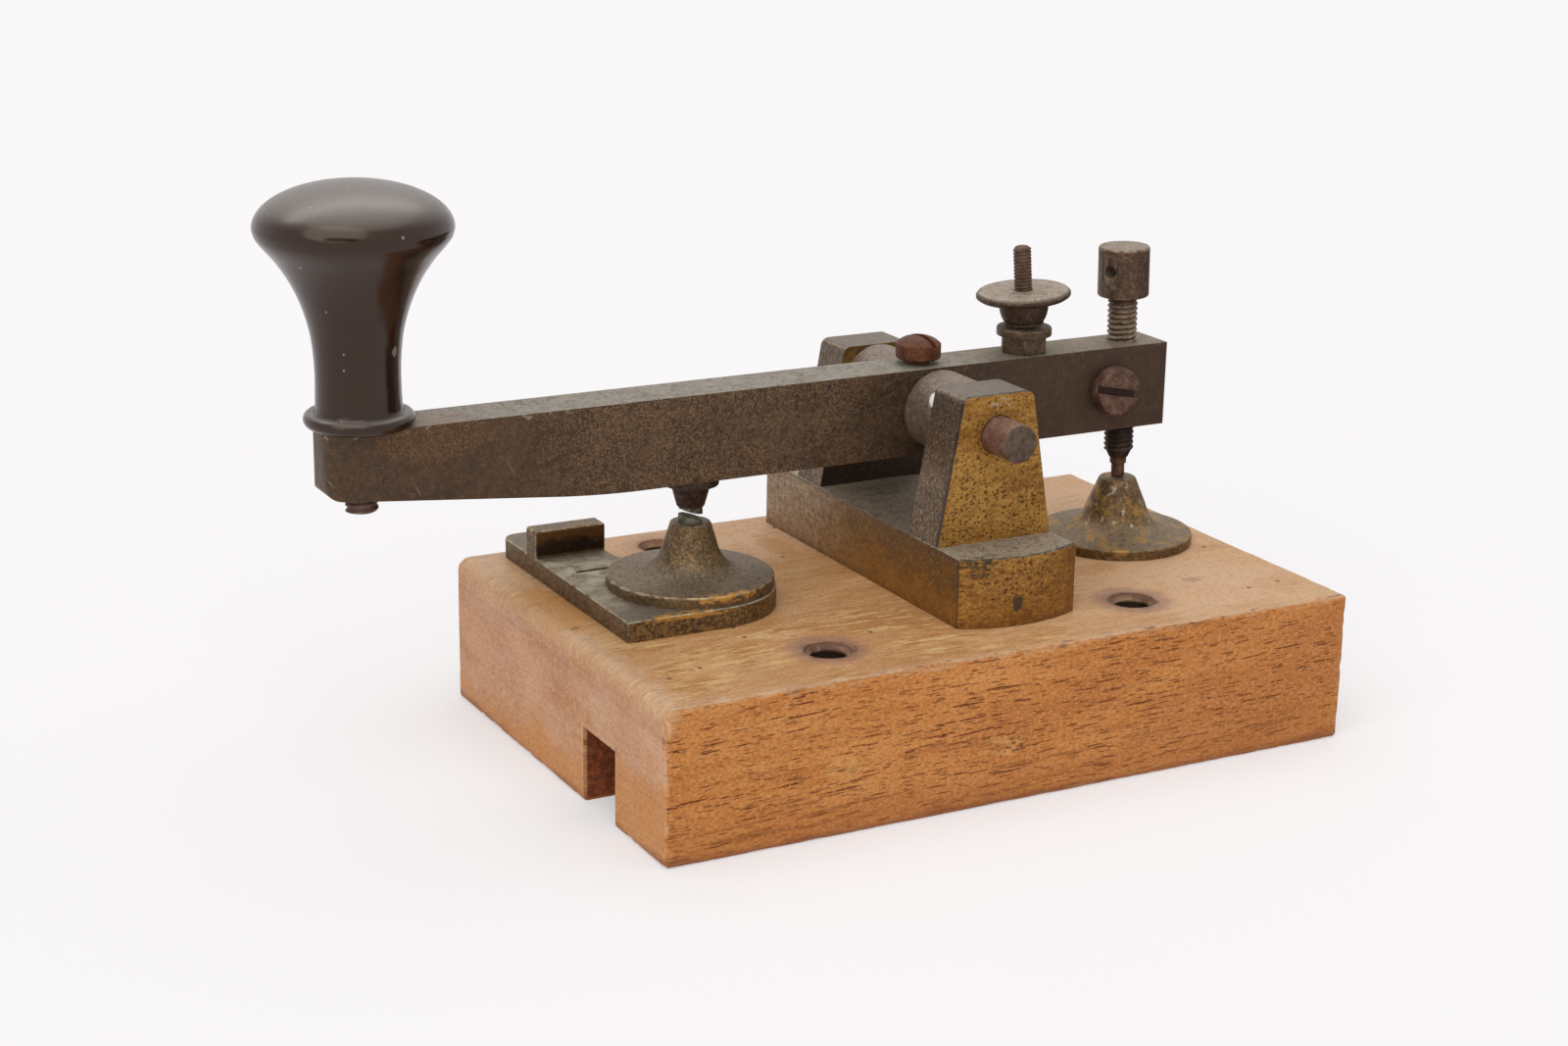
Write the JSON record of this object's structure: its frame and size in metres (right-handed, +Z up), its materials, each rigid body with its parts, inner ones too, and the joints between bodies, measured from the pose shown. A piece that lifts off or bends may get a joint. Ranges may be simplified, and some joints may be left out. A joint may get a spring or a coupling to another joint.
{
  "type": "telegraph key",
  "caption": "Telegraph key: brass lever with a waisted black knob, rocking between two posts over a wooden base with front and rear contacts.",
  "frame": {"origin": "centre of the four mounting holes, on the underside of the base, below the lever's centre line", "axes": "+X along the lever from the knob to its tail, +Y across the lever to the side the front plate reaches, +Z up"},
  "size_m": [0.1495, 0.072, 0.0858],
  "materials": {
    "base_wood": "worn varnish",
    "lever_bronze": "dark brown patina",
    "bridge_brass": "aged, pitted",
    "seat_bronze": "dark olive patina",
    "turned_brass": "tarnished, turned",
    "hidden_brass": "satin",
    "screw_steel": "rust brown",
    "contact_metal": "worn, grey green",
    "spring_steel": "drawn wire",
    "knob_ebonite": "polished"
  },
  "bodies": {
    "frame": {"base": "base_wood", "front_plate": "seat_bronze", "plate_screw": "screw_steel", "front_anvil": "seat_bronze", "front_anvil_point": "contact_metal", "rear_anvil": "seat_bronze", "rear_anvil_point": "contact_metal", "contact_washers": "hidden_brass", "contact_nuts": "hidden_brass", "bridge": "bridge_brass", "bridge_washers": "hidden_brass", "bridge_bolts": "screw_steel", "spring_post": "screw_steel", "tension_spring": "spring_steel"},
    "lever_arm": {"lever": "lever_bronze", "pivot_pin": "screw_steel", "pivot_collars": "turned_brass", "set_screw": "screw_steel", "knob": "knob_ebonite", "knob_screw": "screw_steel", "lever_contact": "turned_brass", "lever_contact_point": "contact_metal", "lock_screw": "screw_steel", "tension_collar": "turned_brass"},
    "nut": {"thumb_nut": "turned_brass"},
    "rod": {"tension_rod": "screw_steel"},
    "stop_tip": {"stop_point": "contact_metal"},
    "stop": {"stop_screw": "turned_brass"}
  },
  "joints": [
    {"name": "lever_pivot", "type": "hinge", "parent": "frame", "child": "lever_arm", "pos_m": [0.005, 0, 0.0474], "axis": [0, -1, 0], "range_deg": [0, 0.85], "stiffness_Nm_per_rad": 0.35, "springref_deg": -17.19, "deforming": ["tension_spring"]},
    {"name": "nut_turn", "type": "hinge", "parent": "lever_arm", "child": "nut", "pos_m": [0.0247, 0, 0.022], "axis": [-0.0802, 0, 0.9968], "range_deg": [0, 1080]},
    {"name": "rod_slide", "type": "slide", "parent": "lever_arm", "child": "rod", "axis": [0.0802, 0, -0.9968], "range_m": [0, 0.0015], "deforming": ["tension_spring"]},
    {"name": "stop_lift", "type": "slide", "parent": "lever_arm", "child": "stop_tip", "axis": [-0.0262, 0, 0.9997], "range_m": [0, 0.0016]},
    {"name": "stop_turn", "type": "hinge", "parent": "stop_tip", "child": "stop", "pos_m": [0.0401, 0, 0.0321], "axis": [-0.0262, 0, 0.9997], "range_deg": [0, 720]}
  ],
  "couplings": [
    {"joint": "nut_turn", "follows": "rod_slide", "rad_per_m": 12566},
    {"joint": "stop_turn", "follows": "stop_lift", "rad_per_m": 7853.9}
  ]
}
